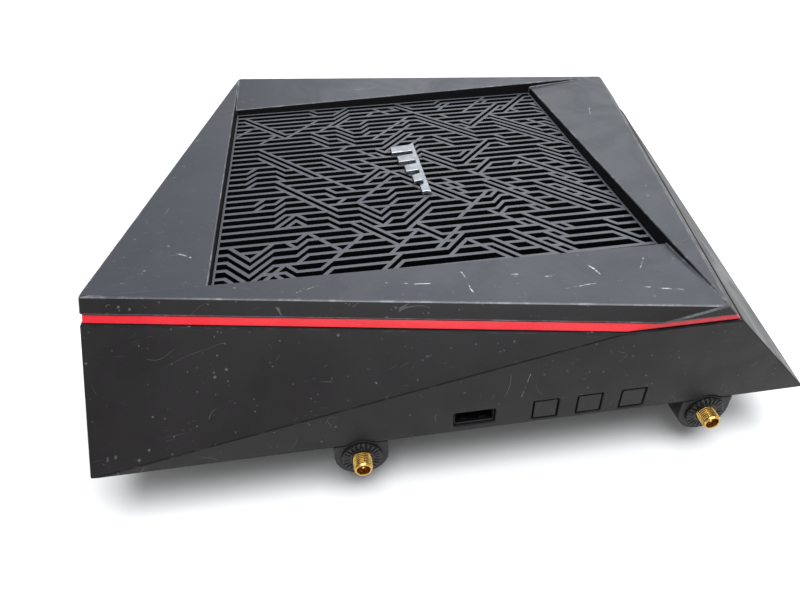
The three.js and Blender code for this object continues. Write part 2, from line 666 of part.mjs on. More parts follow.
function addPiece(name, shape, material) {
  const geometry = shape instanceof THREE.BufferGeometry ? shape : geometryOf(shape);
  const mesh = new THREE.Mesh(geometry, MATERIALS[material]);
  mesh.name = name;
  router.add(mesh);
  return mesh;
}

function addOnSide(name, shape, material, quarter) {
  addPiece(name, shape, material).rotation.z = quarter * Math.PI / 2;
}

addPiece('top_cover', topCover(), 'cover');
addPiece('top_grille', topGrille(), 'grille');
addPiece('badge', badge(), 'badge');
addPiece('red_trim', redTrim(), 'trim');
addPiece('side_housing', sideHousing(), 'skirt');
addPiece('bottom_cover', bottomCover(), 'base');
addPiece('main_board', mainBoard(), 'board');
addPiece('heat_sink', heatSink(), 'sink');

for (const quarter of QUARTERS) {
  const side = QUARTER_NAMES[quarter];
  addOnSide(`socket_rail_${side}`, socketRail(), 'base', quarter);
  addOnSide(`foot_${side}`, foot(), 'rubber', quarter);
  addOnSide(`housing_screw_${side}`, housingScrew(), 'steel', quarter);
  SOCKET_AT.forEach((u, index) => {
    const place = `${side}_${index + 1}`;
    addOnSide(`antenna_socket_${place}`, antennaSocket(u), 'brass', quarter);
    addOnSide(`detent_ring_${place}`, detentRing(u), 'ring', quarter);
    addOnSide(`antenna_lead_${place}`, antennaLead(u), 'lead', quarter);
  });
}

for (const [name, u] of Object.entries(SIDE_BUTTON_AT)) {
  addOnSide(name, squareButton(u, SIDE_BUTTON), 'button', NEAR);
  addOnSide(name.replace('button', 'switch'), keySwitch(u, SIDE_BUTTON), 'port', NEAR);
}
addOnSide('usb3_port', usbPort(USB_AT.usb3_port), 'steel', NEAR);
addOnSide('status_lens', statusLens(), 'lens', FRONT);
addOnSide('power_button', squareButton(POWER_BUTTON_AT, POWER_BUTTON), 'button', REAR);
addOnSide('power_switch', keySwitch(POWER_BUTTON_AT, POWER_BUTTON), 'port', REAR);
addOnSide('reset_button', resetButton(), 'button', REAR);
addOnSide('reset_switch', keySwitch(RESET.u, RESET), 'port', REAR);
addOnSide('lan_port_block', jackBlock(LAN_AT, 4), 'port', REAR);
addOnSide('wan_port', jackBlock(WAN_AT, 1), 'port', REAR);
addOnSide('usb2_port', usbPort(USB_AT.usb2_port), 'steel', REAR);
addOnSide('dc_jack', dcJack(), 'port', REAR);

export default router;
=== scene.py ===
"""Looks of the square wireless router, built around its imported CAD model.

Lengths are millimetres unless a comment says metres. Every mesh is made in metres, in the CAD
frame: the origin is on the floor under the middle of the body and +Z is up. A place on a side is
given by u, along the side from its middle, v, the depth behind the side's face, and z. The near
side faces -Y, and the others are the near side turned by quarter turns about Z.
"""

import json
import math
import random

import bmesh
import bpy
from mathutils import Matrix, Vector
from mathutils.geometry import delaunay_2d_cdt

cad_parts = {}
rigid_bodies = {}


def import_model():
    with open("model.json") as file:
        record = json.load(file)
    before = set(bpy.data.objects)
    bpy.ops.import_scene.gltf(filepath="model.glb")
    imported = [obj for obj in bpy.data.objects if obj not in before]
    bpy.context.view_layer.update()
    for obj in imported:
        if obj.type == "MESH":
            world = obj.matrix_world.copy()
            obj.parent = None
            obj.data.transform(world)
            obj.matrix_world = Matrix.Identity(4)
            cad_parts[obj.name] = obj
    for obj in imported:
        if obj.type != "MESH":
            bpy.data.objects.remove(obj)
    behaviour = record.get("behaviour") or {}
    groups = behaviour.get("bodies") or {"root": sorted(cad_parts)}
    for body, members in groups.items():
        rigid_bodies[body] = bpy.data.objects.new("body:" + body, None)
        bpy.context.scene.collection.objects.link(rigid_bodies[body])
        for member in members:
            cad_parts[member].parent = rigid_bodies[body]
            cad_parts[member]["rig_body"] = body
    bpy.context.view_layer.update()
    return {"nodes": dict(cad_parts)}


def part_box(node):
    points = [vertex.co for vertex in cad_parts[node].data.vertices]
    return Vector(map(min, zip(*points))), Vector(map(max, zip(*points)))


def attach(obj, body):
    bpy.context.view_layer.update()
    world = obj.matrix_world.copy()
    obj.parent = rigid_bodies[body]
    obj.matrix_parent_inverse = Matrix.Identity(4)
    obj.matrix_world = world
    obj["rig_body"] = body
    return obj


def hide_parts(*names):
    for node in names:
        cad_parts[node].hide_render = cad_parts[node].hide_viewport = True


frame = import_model()

MM = 0.001
HOUSING = "housing"
NEAR, FRONT, FAR, REAR = range(4)
SIDE_NAMES = ("near", "front", "far", "rear")
HALF = 1000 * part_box("side_housing")[1].x
OPENING_HALF = 2 * HALF / 3
TOP = 65                        # height of the outer edges of the top
PLATE_DIP = 3.2                 # how far each top plate falls towards its low corner
GAP = 0.3                       # room left between two fitted pieces


# ---------------------------------------------------------------- camera and light

# The photo's camera: its place in metres, its turn in degrees and its lens in millimetres.
CAMERA_PLACE = (-0.03795, -0.25861, 0.18922)
CAMERA_TURN = (51.808, 1.468, -8.205)
CAMERA_LENS = 28.37
SENSOR_WIDTH = 36
CLIP_START = 0.01               # metres

SKY_COLOUR = (0.97, 0.985, 1, 1)
SKY_STRENGTH = 0.45

# Each area light: name, place, what it points at, size, watts and colour. All in metres.
LIGHTS = [
    ("ceiling", (0.1, -0.25, 1.3), (0, 0, 0), (1.4, 1.2), 36, (0.96, 0.98, 1)),
    ("back_window", (0.9, 1.6, 1.4), (0, 0, 0.05), (2.4, 1.2), 17, (0.9, 0.95, 1)),
    ("right_window", (1.5, 0.1, 0.7), (0, 0, 0.03), (1.6, 1.0), 3, (1, 0.99, 0.96)),
    ("near_fill", (-0.2, -1.6, 0.5), (0, 0, 0.03), (1.4, 0.5), 3, (1, 0.99, 0.98)),
]


def make_camera():
    data = bpy.data.cameras.new("camera")
    data.lens = CAMERA_LENS
    data.sensor_width = SENSOR_WIDTH
    data.clip_start = CLIP_START
    camera = bpy.data.objects.new("camera", data)
    camera.location = CAMERA_PLACE
    camera.rotation_euler = [math.radians(angle) for angle in CAMERA_TURN]
    bpy.context.scene.collection.objects.link(camera)
    bpy.context.scene.camera = camera


def area_light(name, place, target, size, power, colour):
    data = bpy.data.lights.new(name, "AREA")
    data.shape = "RECTANGLE"
    data.size, data.size_y = size
    data.energy = power
    data.color = colour
    light = bpy.data.objects.new(name, data)
    light.location = place
    aim = Vector(target) - Vector(place)
    light.rotation_euler = aim.to_track_quat("-Z", "Y").to_euler()
    bpy.context.scene.collection.objects.link(light)


def make_light():
    world = bpy.data.worlds.new("soft_sky")
    world.use_nodes = True
    background = world.node_tree.nodes["Background"]
    background.inputs["Color"].default_value = SKY_COLOUR
    background.inputs["Strength"].default_value = SKY_STRENGTH
    bpy.context.scene.world = world
    for row in LIGHTS:
        area_light(*row)
    bpy.context.scene.view_settings.view_transform = "Standard"
    bpy.context.scene.view_settings.look = "None"


# ---------------------------------------------------------------- materials


class Recipe:
    """A node material being put together. Its coordinates are the piece's own, in metres."""

    def __init__(self, name):
        self.material = bpy.data.materials.new(name)
        self.material.use_nodes = True
        self.tree = self.material.node_tree
        self.shader = self.tree.nodes["Principled BSDF"]
        self.place = self.tree.nodes.new("ShaderNodeTexCoord").outputs["Object"]

    def put(self, socket, value):
        if isinstance(value, bpy.types.NodeSocket):
            self.tree.links.new(value, socket)
        else:
            socket.default_value = value

    def node(self, kind, inputs, output=0, **settings):
        made = self.tree.nodes.new("ShaderNode" + kind)
        for key, value in settings.items():
            setattr(made, key, value)
        for key, value in inputs.items():
            self.put(made.inputs[key], value)
        return made.outputs[output]

    def maths(self, operation, *values, clamp=False):
        inputs = dict(enumerate(values))
        return self.node("Math", inputs, operation=operation, use_clamp=clamp)

    def vector(self, operation, *values, output=0):
        inputs = dict(enumerate(values))
        return self.node("VectorMath", inputs, output, operation=operation)

    def stretched(self, scale, turn=(0, 0, 0)):
        turn = [math.radians(angle) for angle in turn]
        return self.node("Mapping", {"Vector": self.place, "Scale": scale, "Rotation": turn})

    def noise(self, scale, detail=2.0, roughness=0.5, distortion=0.0, place=None):
        inputs = {
            "Vector": place or self.place,
            "Scale": scale,
            "Detail": detail,
            "Roughness": roughness,
            "Distortion": distortion,
        }
        return self.node("TexNoise", inputs)

    def step(self, value, low, high):
        """0 where value is below low and 1 above high, smooth between; or the other way round."""
        inputs = {"Value": value, "From Min": low, "From Max": high}
        return self.node("MapRange", inputs, interpolation_type="SMOOTHSTEP")

    def blend(self, share, a, b):
        return self.node("Mix", {0: share, 2: a, 3: b}, data_type="FLOAT")

    def blend_colour(self, share, a, b):
        return self.node("Mix", {0: share, 6: a, 7: b}, 2, data_type="RGBA")

    def hairlines(self, scale, width, cover, turn=(0, 0, 0), squeeze=(1, 1, 1)):
        """Thin scratches: the level lines of a noise, kept only where a second noise is high."""
        place = self.stretched(squeeze, turn)
        level = self.noise(scale, 1, 0.4, 0.6, place)
        off_level = self.maths("ABSOLUTE", self.maths("SUBTRACT", level, 0.5))
        line = self.step(off_level, width, 0.0)
        kept = self.step(self.noise(scale * 1.7, 2, 0.5, 0, place), 1 - cover, 1 - cover + 0.05)
        return self.maths("MULTIPLY", line, kept)

    def specks(self, scale, size, cover):
        """Small round dots of dust."""
        spots = self.node(
            "TexVoronoi", {"Vector": self.place, "Scale": scale, "Randomness": 1.0}, "Distance"
        )
        kept = self.step(self.noise(scale * 0.35, 1), 1 - cover, 1 - cover + 0.04)
        return self.maths("MULTIPLY", self.step(spots, size, size * 0.5), kept)

    def mark(self, start, end, width, strength, place):
        """One scratch from start to end, in metres, broken up along its length."""
        start, end = Vector(start), Vector(end)
        along = end - start
        away = self.vector("SUBTRACT", place, start)
        reached = self.vector("DOT_PRODUCT", away, along, output="Value")
        share = self.maths("DIVIDE", reached, along.length_squared, clamp=True)
        scaled = self.tree.nodes.new("ShaderNodeVectorMath")
        scaled.operation = "SCALE"
        scaled.inputs[0].default_value = along
        self.put(scaled.inputs["Scale"], share)
        gap = self.vector("LENGTH", self.vector("SUBTRACT", away, scaled.outputs[0]), output="Value")
        return self.maths("MULTIPLY", self.step(gap, width, width * 0.35), strength)

    def most(self, values):
        whole = values[0]
        for value in values[1:]:
            whole = self.maths("MAXIMUM", whole, value)
        return whole

    def bump(self, height, distance):
        """Relief of that height, with distance in metres."""
        return self.node("Bump", {"Height": height, "Distance": distance, "Strength": 1.0})

    def finish(self, **inputs):
        for key, value in inputs.items():
            self.put(self.shader.inputs[key.replace("_", " ")], value)
        return self.material


def colour(red, green, blue):
    """A display colour, 0 to 255, as the linear colour that a node takes."""
    linear = (
        ((c / 255 + 0.055) / 1.055) ** 2.4 if c > 10 else c / 255 / 12.92
        for c in (red, green, blue)
    )
    return (*linear, 1)


def lighter(paint, share):
    return (*(c + (1 - c) * share for c in paint[:3]), 1)


def darker(paint, share):
    return (*(c * (1 - share) for c in paint[:3]), 1)


def plastic(
    name,
    paint,
    roughness,
    grain=2600,
    grain_depth=0.000012,
    variation=0.1,
    scratches=0.0,
    dust=0.0,
    rub=0.0,
    marks=(),
    specular=0.5,
):
    """Moulded plastic: grain, clouded colour, smudges, hairlines, dust, rubbed spots and scuffs."""
    r = Recipe(name)
    cloud = r.noise(18, 4, 0.6)
    smudge = r.noise(34, 5, 0.65, 0.8)
    grain_height = r.noise(grain, 3, 0.6)
    tone = r.blend_colour(r.step(cloud, 0.3, 0.7), darker(paint, variation), darker(paint, -variation))
    fleck = r.step(grain_height, 0.42, 0.7)
    tone = r.blend_colour(r.maths("MULTIPLY", fleck, 0.5), tone, darker(paint, -0.4))
    rough = r.blend(r.step(smudge, 0.35, 0.68), roughness - 0.05, roughness + 0.1)
    height = grain_height
    if scratches:
        fine = r.hairlines(42, 0.0035, 0.42, (0, 0, 25), (1, 3.5, 1))
        crossing = r.hairlines(65, 0.003, 0.4, (20, 0, 110), (1, 4.5, 1))
        lines = r.maths("MULTIPLY", r.most([fine, crossing]), scratches)
        tone = r.blend_colour(r.maths("MULTIPLY", lines, 0.45), tone, lighter(paint, 0.5))
        rough = r.maths("ADD", rough, r.maths("MULTIPLY", lines, 0.2))
        height = r.maths("SUBTRACT", height, r.maths("MULTIPLY", lines, 1.5))
    if dust:
        dots = r.most([r.specks(260, 0.16, 0.44), r.specks(620, 0.2, 0.4)])
        tone = r.blend_colour(r.maths("MULTIPLY", dots, dust), tone, lighter(paint, 0.6))
        rough = r.maths("ADD", rough, r.maths("MULTIPLY", dots, 0.3), clamp=True)
    if rub:
        worn = r.step(r.noise(140, 4, 0.7), 0.47, 0.66)
        tone = r.blend_colour(r.maths("MULTIPLY", worn, rub), tone, lighter(paint, 0.55))
    if marks:
        drift = r.node("TexNoise", {"Vector": r.place, "Scale": 90}, 1)
        waver = r.vector("SCALE", r.vector("SUBTRACT", drift, (0.5,) * 3))
        waver.node.inputs["Scale"].default_value = MARK_WAVER
        place = r.vector("ADD", r.place, waver)
        ragged = r.step(r.noise(520, 4, 0.7), 0.42, 0.62)
        scuffs = r.maths("MULTIPLY", r.most([r.mark(*row, place) for row in marks]), ragged)
        tone = r.blend_colour(scuffs, tone, lighter(paint, 0.5))
        rough = r.maths("ADD", rough, r.maths("MULTIPLY", scuffs, 0.25), clamp=True)
    return r.finish(
        Base_Color=tone,
        Roughness=rough,
        Normal=r.bump(height, grain_depth),
        Specular_IOR_Level=specular,
    )


def metal(
    name,
    paint,
    roughness,
    tarnish=0.3,
    grain=900,
    grain_depth=0.000006,
    squeeze=(1, 1, 1),
    metallic=1.0,
):
    """Metal with fine tooling marks and patches where it has dulled."""
    r = Recipe(name)
    patch = r.step(r.noise(260, 4, 0.65), 0.38, 0.68)
    lines = r.noise(grain, 3, 0.6, 0, r.stretched(squeeze))
    tone = r.blend_colour(r.maths("MULTIPLY", patch, tarnish), paint, darker(paint, 0.6))
    rough = r.blend(patch, roughness, roughness + 0.18)
    rough = r.maths("ADD", rough, r.maths("MULTIPLY", lines, 0.08))
    return r.finish(
        Base_Color=tone,
        Roughness=rough,
        Metallic=metallic,
        Normal=r.bump(lines, grain_depth),
    )


def rubber(name, paint):
    r = Recipe(name)
    cloud = r.step(r.noise(90, 4, 0.6), 0.35, 0.7)
    grit = r.noise(2400, 3, 0.7)
    tone = r.blend_colour(cloud, paint, lighter(paint, 0.05))
    return r.finish(Base_Color=tone, Roughness=r.blend(cloud, 0.75, 0.92), Normal=r.bump(grit, 0.00003))


def board_mask(name):
    """A circuit board: dark solder mask over copper tracks, with rows of vias."""
    r = Recipe(name)
    paint = colour(9, 18, 15)
    bricks = {
        "Vector": r.place,
        "Scale": 260,
        "Mortar Size": 0.14,
        "Mortar Smooth": 0.2,
        "Brick Width": 2.4,
        "Row Height": 0.5,
    }
    tracks = r.node("TexBrick", bricks, "Fac")
    routed = r.step(r.noise(38, 2), 0.46, 0.5)
    copper = r.maths("MULTIPLY", tracks, routed)
    vias = r.node("TexVoronoi", {"Vector": r.place, "Scale": 330, "Randomness": 0.55}, "Distance")
    rings = r.step(vias, 0.2, 0.13)
    tone = r.blend_colour(r.maths("MULTIPLY", copper, 0.55), paint, colour(14, 30, 22))
    tone = r.blend_colour(r.maths("MULTIPLY", rings, 0.6), tone, colour(70, 64, 42))
    height = r.most([copper, rings])
    return r.finish(Base_Color=tone, Roughness=r.blend(rings, 0.42, 0.3), Normal=r.bump(height, 0.00003))


def clear_plastic(name):
    r = Recipe(name)
    haze = r.noise(160, 4, 0.6)
    tone = r.blend_colour(r.step(haze, 0.35, 0.7), colour(214, 220, 222), colour(236, 240, 241))
    return r.finish(
        Base_Color=tone,
        Roughness=r.blend(haze, 0.12, 0.3),
        Normal=r.bump(haze, 0.00002),
        Subsurface_Weight=0.25,
        Subsurface_Radius=(0.004, 0.004, 0.004),
        Subsurface_Scale=0.3,
    )


COVER_PAINT = colour(46, 48, 53)
SKIRT_PAINT = colour(24, 22, 23)

MARK_WAVER = 0.0035             # how far a scuff strays from its straight line, in metres

# Scuffs on the top plates: start and end from above, half width and strength, in metres.
PLATE_MARKS = [
    ((-0.022, -0.091), (-0.006, -0.094), 0.00035, 0.8),
    ((0.004, -0.088), (0.006, -0.101), 0.0003, 0.9),
    ((0.021, -0.093), (0.034, -0.096), 0.0004, 0.7),
    ((0.030, -0.104), (0.046, -0.103), 0.0003, 0.8),
    ((0.048, -0.092), (0.050, -0.098), 0.0005, 0.8),
    ((0.057, -0.107), (0.072, -0.111), 0.00045, 0.7),
    ((0.064, -0.096), (0.069, -0.090), 0.0003, 0.6),
    ((-0.052, -0.092), (-0.044, -0.089), 0.0003, 0.6),
    ((-0.102, -0.030), (-0.101, -0.012), 0.0003, 0.55),
    ((-0.094, -0.058), (-0.089, -0.061), 0.0004, 0.6),
    ((-0.099, 0.034), (-0.096, 0.040), 0.0004, 0.5),
    ((-0.020, 0.093), (-0.004, 0.094), 0.0004, 0.5),
    ((0.094, 0.020), (0.101, 0.041), 0.00035, 0.45),
    ((0.088, -0.052), (0.091, -0.043), 0.0003, 0.5),
]

# Scratches on the near side's upright and leaning faces, in metres.
SKIRT_MARKS = [
    ((-0.098, -0.1225, 0.052), (-0.090, -0.1225, 0.051), 0.00035, 0.5),
    ((-0.084, -0.120, 0.047), (-0.078, -0.121, 0.041), 0.00025, 0.4),
    ((-0.030, -0.118, 0.050), (-0.028, -0.119, 0.041), 0.00025, 0.35),
    ((0.018, -0.1225, 0.036), (0.020, -0.1225, 0.045), 0.0002, 0.4),
    ((0.064, -0.1225, 0.044), (0.080, -0.1225, 0.046), 0.0002, 0.35),
    ((0.090, -0.1225, 0.036), (0.094, -0.1225, 0.030), 0.0003, 0.35),
]


def on_plate(x, y):
    """The point of the top plates over or under a place, in metres."""
    for quarter in range(4):
        across, depth = Matrix.Rotation(-quarter * math.pi / 2, 2) @ Vector((x, y)) / MM
        if depth < -OPENING_HALF and across < OPENING_HALF:
            along = (across - OPENING_HALF) / (HALF + OPENING_HALF)
            inward = (depth + HALF) / (HALF - OPENING_HALF)
            return (x, y, (TOP - PLATE_DIP * (along + inward)) * MM)
    raise ValueError("the place is not on a top plate")


def make_materials():
    marks = [(on_plate(*start), on_plate(*end), *rest) for start, end, *rest in PLATE_MARKS]
    return {
        "cover": plastic(
            "cover_paint", COVER_PAINT, 0.4,
            variation=0.08, scratches=0.25, dust=0.12, marks=marks, specular=0.38,
        ),
        "cover_edge": plastic("cover_edge", lighter(COVER_PAINT, 0.01), 0.36, rub=0.14),
        "grille": plastic("grille_plastic", colour(62, 64, 69), 0.42, scratches=0.2, dust=0.12),
        # The grille's slot walls, underside and rim are painted near black: painted shade in the deep slots.
        "grille_wall_painted_shade": plastic("grille_wall_painted_shade", colour(8, 8, 10), 0.7, specular=0.06),
        # The cover's opening walls and undersides are painted near black: painted shade in the gap round the
        # grille.
        "recess": plastic("opening_wall_painted_shade", colour(12, 12, 14), 0.55, specular=0.15),
        "skirt": plastic(
            "skirt_plastic", SKIRT_PAINT, 0.42,
            scratches=0.25, dust=0.09, marks=SKIRT_MARKS, specular=0.18,
        ),
        # The skirt's rounded edges are a darker, duller copy of its plastic: painted shade that keeps
        # highlights off the edges, with a little random wear.
        "skirt_edge": plastic("skirt_edge", darker(SKIRT_PAINT, 0.45), 0.5, rub=0.02, specular=0.12),
        "base": plastic(
            "base_plastic", colour(20, 19, 20), 0.55,
            grain=1900, grain_depth=0.00003, dust=0.08, specular=0.3,
        ),
        "trim": plastic(
            "red_trim", colour(180, 22, 33), 0.34,
            grain_depth=0.000006, variation=0.06, dust=0.03, specular=0.4,
        ),
        "button": plastic(
            "button_plastic", colour(28, 26, 27), 0.4, scratches=0.15, dust=0.08, specular=0.18
        ),
        "badge": metal("badge_silver", colour(160, 162, 166), 0.3, 0.25, 700, 0.00001, (1, 6, 1)),
        "rubber": rubber("foot_rubber", colour(30, 30, 31)),
        "brass": metal("gold_plate", colour(206, 168, 92), 0.22, 0.35, 5000, 0.000004),
        # The thread's grooves take a darker copy of the gold: painted shade in the grooves.
        "brass_root_painted_shade": metal("gold_thread_root_painted_shade", colour(92, 66, 28), 0.4, 0.3, 5000, 0.000004),
        "ring": plastic("ring_plastic", colour(19, 18, 20), 0.42, grain_depth=0.00002, specular=0.35),
        "screw": metal("zinc_screw", colour(128, 130, 134), 0.32, 0.4, 1200),
        "board": board_mask("board_mask"),
        "heat_sink": metal(
            "black_anodised", colour(17, 17, 18), 0.5, 0.3, 800, 0.00001, (0.2, 4, 4), 0.6
        ),
        "shield": metal("tinned_steel", colour(176, 178, 182), 0.3, 0.25, 300, 0.00001, (1, 5, 1)),
        "port_shell": metal("port_shell", colour(44, 44, 47), 0.36, 0.4, 900, metallic=0.9),
        "jack": plastic("jack_plastic", colour(24, 24, 26), 0.48, grain_depth=0.00002),
        "contact": metal("contact_gold", colour(206, 170, 100), 0.25, 0.3, 1800),
        "tongue": plastic("tongue_plastic", colour(24, 23, 25), 0.5),
        "switch": plastic("switch_plastic", colour(30, 30, 32), 0.5),
        "lead": rubber("lead_jacket", colour(34, 34, 36)),
        "chip": plastic("chip_resin", colour(30, 31, 33), 0.55, grain=5200, grain_depth=0.00001),
        "lens": clear_plastic("lamp_plastic"),
    }


MATERIALS = make_materials()

# ---------------------------------------------------------------- mesh helpers

MERGE = 0.02                    # corners nearer than this are one corner
FLAT_ANGLE = 0.5                # faces that meet within this many degrees are one flat
SHARP_ANGLE = 28                # edges that turn by more degrees than this are rounded
FLAT_WEIGHT = 80                # how far the flat faces rule the shading, out of 100


def piece(name, mesh, body, slot, *materials, replaces=(), place=None):
    """Makes an object of the mesh, in its place, and ties it to a CAD body."""
    made = bpy.data.objects.new(name, mesh)
    if not mesh.materials:
        for key in materials:
            mesh.materials.append(MATERIALS[key])
    if place is not None:
        made.matrix_world = place
    bpy.context.scene.collection.objects.link(made)
    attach(made, body)
    if replaces:
        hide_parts(*replaces)
    return made


def mesh_of(bm, name, smooth=False):
    bmesh.ops.recalc_face_normals(bm, faces=bm.faces)
    mesh = bpy.data.meshes.new(name)
    for face in bm.faces:
        face.smooth = smooth
    bm.to_mesh(mesh)
    bm.free()
    return mesh


def rounded(made, width, segments=3, edge_material=-1):
    """Rounds every sharp edge by width."""
    bevel = made.modifiers.new("rounding", "BEVEL")
    bevel.width = width * MM
    bevel.segments = segments
    bevel.limit_method = "ANGLE"
    bevel.angle_limit = math.radians(SHARP_ANGLE)
    bevel.use_clamp_overlap = False
    bevel.material = edge_material
    bevel.miter_outer = "MITER_ARC"
    made.modifiers.new("flat_faces_first", "WEIGHTED_NORMAL").weight = FLAT_WEIGHT
    return made


def one_face_per_flat(bm):
    """Joins the triangles of each flat, then splits again only the faces of five corners or more."""
    bmesh.ops.dissolve_limit(
        bm, angle_limit=math.radians(FLAT_ANGLE), verts=bm.verts, edges=bm.edges
    )
    bmesh.ops.triangulate(bm, faces=[face for face in bm.faces if len(face.verts) > 4])


def cad_copy(node, painted=None):
    """A cleaned copy of a CAD node's mesh: no doubled corners, and one face for each flat."""
    bm = bmesh.new()
    bm.from_mesh(frame["nodes"][node].data)
    bmesh.ops.remove_doubles(bm, verts=bm.verts, dist=MERGE * MM)
    bmesh.ops.dissolve_degenerate(bm, edges=bm.edges, dist=MERGE * MM)
    one_face_per_flat(bm)
    for face in bm.faces:
        face.material_index = painted(face) if painted else 0
    return mesh_of(bm, node + "_finished", smooth=True)


def refined(node, slot, width, *materials, painted=None):
    """The CAD node's own shape with its edges rounded, standing for the node."""
    body = frame["nodes"][node]["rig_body"]
    mesh = cad_copy(node, painted)
    made = piece(node + "_finished", mesh, body, slot, *materials, replaces=(node,))
    return rounded(made, width, edge_material=1 if len(materials) > 1 else -1)


def quarter_turn(quarter):
    """The matrix that takes the near side to the side that lies that many quarter turns on."""
    return Matrix.Rotation(quarter * math.pi / 2, 4, "Z")


def on_side(quarter, u=0.0, z=0.0, v=0.0):
    """The matrix that takes (along, inward, up) in metres from a point on a side to the CAD frame."""
    return quarter_turn(quarter) @ Matrix.Translation(Vector((u, v - HALF, z)) * MM)


OUTWARD = Matrix.Rotation(math.pi / 2, 4, "X")      # takes +Z to the near side's outward way


def add_box(bm, low, high, material=0):
    """A box between two corners."""
    corners = [
        Vector((x, y, z)) * MM
        for z in (low[2], high[2])
        for y in (low[1], high[1])
        for x in (low[0], high[0])
    ]
    v = [bm.verts.new(corner) for corner in corners]
    loops = ((0, 2, 3, 1), (4, 5, 7, 6), (0, 1, 5, 4), (2, 6, 7, 3), (0, 4, 6, 2), (1, 3, 7, 5))
    for loop in loops:
        bm.faces.new([v[i] for i in loop]).material_index = material


def add_rings(bm, rings, material=0, closed=True):
    """Joins rings of points, each the same length, into a skin: a loop, or one closed by faces."""
    loops = [[bm.verts.new(point) for point in ring] for ring in rings]
    pairs = list(zip(loops, loops[1:]))
    if closed:
        pairs.append((loops[-1], loops[0]))
    count = len(loops[0])
    for a, b in pairs:
        for i in range(count):
            j = (i + 1) % count
            bm.faces.new((a[i], a[j], b[j], b[i])).material_index = material
    if not closed:
        bm.faces.new(loops[0]).material_index = material
        bm.faces.new(list(reversed(loops[-1]))).material_index = material


def turned_skin(rings):
    """Points in metres from rings of [radius, height] pairs, spread evenly about Z."""
    count = len(rings[0])
    turns = [2 * math.pi * k / count for k in range(count)]
    return [
        [Vector((r * math.cos(t), r * math.sin(t), h)) * MM for (r, h), t in zip(ring, turns)]
        for ring in rings
    ]


def add_turned(bm, profile, segments=48, matrix=None, material=0):
    """A turned shape about Z from [radius, height] pairs."""
    matrix = matrix or Matrix.Identity(4)
    rings = [
        [
            matrix @ (Vector((r * math.cos(t), r * math.sin(t), h)) * MM)
            for t in (2 * math.pi * k / segments for k in range(segments))
        ]
        for r, h in profile
    ]
    add_rings(bm, rings, material, closed=False)


def add_tube(bm, points, radius, sides=16, material=0):
    """A round tube through the points."""
    points = [Vector(p) for p in points]
    rings = []
    side = Vector((1, 0, 0))
    for i, point in enumerate(points):
        ahead = (points[min(i + 1, len(points) - 1)] - points[max(i - 1, 0)]).normalized()
        up = ahead.cross(side).normalized()
        rings.append(
            [
                (point + radius * (math.cos(t) * side + math.sin(t) * up)) * MM
                for t in (2 * math.pi * k / sides for k in range(sides))
            ]
        )
    add_rings(bm, rings, material, closed=False)


def curve_points(points, steps=8):
    """A smooth line through the points."""
    points = [Vector(p) for p in points]
    line = []
    for i in range(len(points) - 1):
        before = points[max(i - 1, 0)]
        a, b = points[i], points[i + 1]
        after = points[min(i + 2, len(points) - 1)]
        for k in range(steps):
            t = k / steps
            line.append(
                0.5 * (2 * a + (b - before) * t + (2 * before - 5 * a + 4 * b - after) * t**2
                       + (3 * a - before - 3 * b + after) * t**3)
            )
    return line + [points[-1]]


# ---------------------------------------------------------------- grille

GRILLE_TOP = 58.8
GRILLE_THICK = 2.2
GRILLE_RIM = (55.3, 56.75)
GRILLE_RIM_HALF = OPENING_HALF + 3.7
GRILLE_WINDOW_HALF = OPENING_HALF - 1.8
GRILLE_COLUMNS = 38
GRILLE_ROWS = 32
BAR_WIDTH = 1.6
BAR_ROUNDING = 0.16
GRILLE_SEED = 11
STROKE_SHARE = 0.4              # share of the cells that hold a stroke
OPENED_SHARE = 0.03             # share of the level links that are taken out
MOST_TRIES = 20000
STROKE_LENGTHS = (1, 1, 2, 2, 3, 4, 5)
STROKE_COUNTS = (1, 1, 2, 2, 3, 3, 4, 5)


